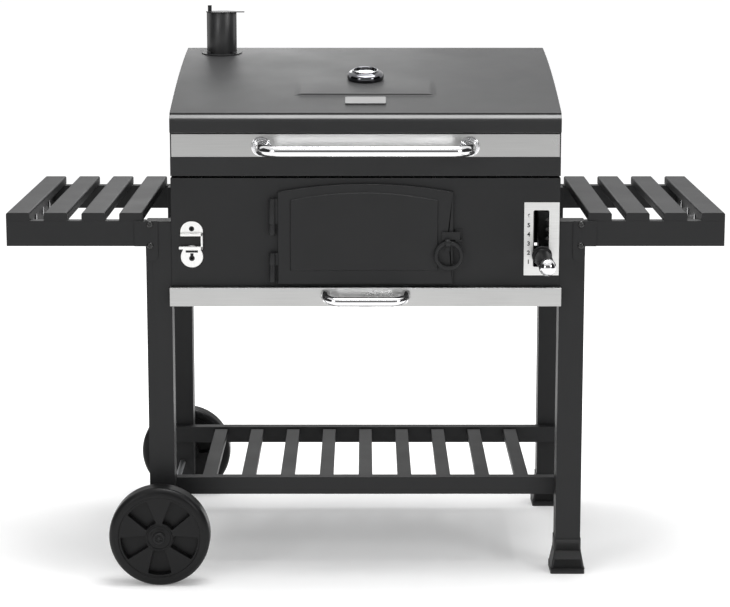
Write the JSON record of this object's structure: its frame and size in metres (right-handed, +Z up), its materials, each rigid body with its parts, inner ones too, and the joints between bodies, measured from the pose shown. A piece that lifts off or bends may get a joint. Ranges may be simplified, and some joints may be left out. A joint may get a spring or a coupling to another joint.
{
  "type": "charcoal grill and smoker cart",
  "caption": "Charcoal grill and smoker on a wheeled cart: hinged lid with flue and gauge, front door, lifting charcoal pan, ash drawer, slatted side and bottom shelves.",
  "frame": {"origin": "on the floor, in the middle of the whole cart's length and depth", "axes": "+X to the right seen from the front, +Y to the back, +Z up"},
  "size_m": [1.41, 0.842, 1.1129],
  "materials": {
    "charcoal_paint": "fine matte powder coat",
    "stainless": "brushed along the width",
    "chrome_plate": "polished",
    "zinc_steel": "plain sheet and bar",
    "grate_enamel": "gloss enamel on wire",
    "black_plastic": "moulded",
    "wheel_plastic": "moulded",
    "bolt_black": "blackened",
    "dial_white": "matt white",
    "needle_red": "matt",
    "lens_glass": "clear"
  },
  "bodies": {
    "cart": {"leg_front_left": "charcoal_paint", "leg_front_right": "charcoal_paint", "leg_rear_left": "charcoal_paint", "leg_rear_right": "charcoal_paint", "left_shelf_front_rail": "charcoal_paint", "left_shelf_rear_rail": "charcoal_paint", "left_shelf_end_rail": "charcoal_paint", "right_shelf_front_rail": "charcoal_paint", "right_shelf_rear_rail": "charcoal_paint", "right_shelf_end_rail": "charcoal_paint", "left_shelf_slats": "charcoal_paint", "right_shelf_slats": "charcoal_paint", "shelf_brackets": "charcoal_paint", "bottom_front_rail": "charcoal_paint", "bottom_rear_rail": "charcoal_paint", "bottom_shelf_slats": "charcoal_paint", "firebox_front": "charcoal_paint", "firebox_back": "charcoal_paint", "firebox_sides": "charcoal_paint", "door_hinge_seats": "charcoal_paint", "latch_keeper": "charcoal_paint", "lid_hinge_box_leaves": "charcoal_paint", "drawer_runners": "charcoal_paint", "lever_scale_plate": "stainless", "bottle_opener": "stainless", "utensil_hooks": "chrome_plate", "lift_guides": "zinc_steel", "axle": "zinc_steel", "cooking_grates": "grate_enamel", "warming_rack": "grate_enamel", "leg_caps": "black_plastic", "foot_boots": "black_plastic", "axle_caps": "black_plastic", "shelf_bolts": "bolt_black"},
    "lid": {"lid_shell": "charcoal_paint", "lid_steel_band": "stainless", "lid_handle": "chrome_plate", "lid_handle_rosettes": "chrome_plate", "name_plate": "stainless", "thermometer_case": "chrome_plate", "thermometer_dial": "dial_white", "thermometer_lens": "lens_glass", "lid_hinge_lid_leaves": "charcoal_paint", "chimney_flue": "charcoal_paint", "chimney_flange": "charcoal_paint"},
    "thermometer_needle": {"thermometer_needle": "needle_red"},
    "chimney_cap": {"chimney_cap": "charcoal_paint"},
    "front_door": {"front_door": "charcoal_paint", "door_hinge_straps": "charcoal_paint"},
    "latch": {"latch_bar": "charcoal_paint"},
    "pull_ring": {"latch_ring": "charcoal_paint"},
    "ash_drawer": {"ash_drawer": "zinc_steel", "drawer_front": "stainless", "drawer_handle": "chrome_plate"},
    "charcoal_lift": {"lift_frame": "zinc_steel", "lever_grip": "black_plastic", "lever_ball": "chrome_plate", "charcoal_pan": "zinc_steel"},
    "wheel_front": {"wheel_front": "wheel_plastic"},
    "wheel_rear": {"wheel_rear": "wheel_plastic"}
  },
  "joints": [
    {"name": "lid_hinge", "type": "hinge", "parent": "cart", "child": "lid", "pos_m": [0, 0.319, 0.803], "axis": [-1, 0, 0], "range_deg": [0, 95]},
    {"name": "needle_pivot", "type": "hinge", "parent": "lid", "child": "thermometer_needle", "pos_m": [0, -0.035, 0.97656], "axis": [0, -0.1916, 0.9815], "range_deg": [-260, 0], "stiffness_Nm_per_rad": 0.002},
    {"name": "chimney_cap_swivel", "type": "hinge", "parent": "lid", "child": "chimney_cap", "pos_m": [-0.33, 0.2, 1.098], "axis": [0, 0, 1], "range_deg": [0, 120]},
    {"name": "front_door_hinge", "type": "hinge", "parent": "cart", "child": "front_door", "pos_m": [-0.183, -0.256, 0.68], "axis": [0, 0, -1], "range_deg": [0, 110]},
    {"name": "latch_pivot", "type": "hinge", "parent": "front_door", "child": "latch", "pos_m": [0.159, -0.2575, 0.6885], "axis": [0, -1, 0], "range_deg": [0, 33]},
    {"name": "ring_swing", "type": "hinge", "parent": "latch", "child": "pull_ring", "pos_m": [0.159, -0.26395, 0.675], "axis": [-1, 0, 0], "range_deg": [0, 80]},
    {"name": "ash_drawer_slide", "type": "slide", "parent": "cart", "child": "ash_drawer", "axis": [0, -1, 0], "range_m": [0, 0.32]},
    {"name": "charcoal_lift_slide", "type": "slide", "parent": "cart", "child": "charcoal_lift", "axis": [0, 0, 1], "range_m": [-0.018, 0.072]},
    {"name": "wheel_front_spin", "type": "hinge", "parent": "cart", "child": "wheel_front", "pos_m": [-0.4065, -0.313, 0.0995], "axis": [0, 1, 0], "continuous": true},
    {"name": "wheel_rear_spin", "type": "hinge", "parent": "cart", "child": "wheel_rear", "pos_m": [-0.4065, 0.388, 0.0995], "axis": [0, 1, 0], "continuous": true}
  ]
}
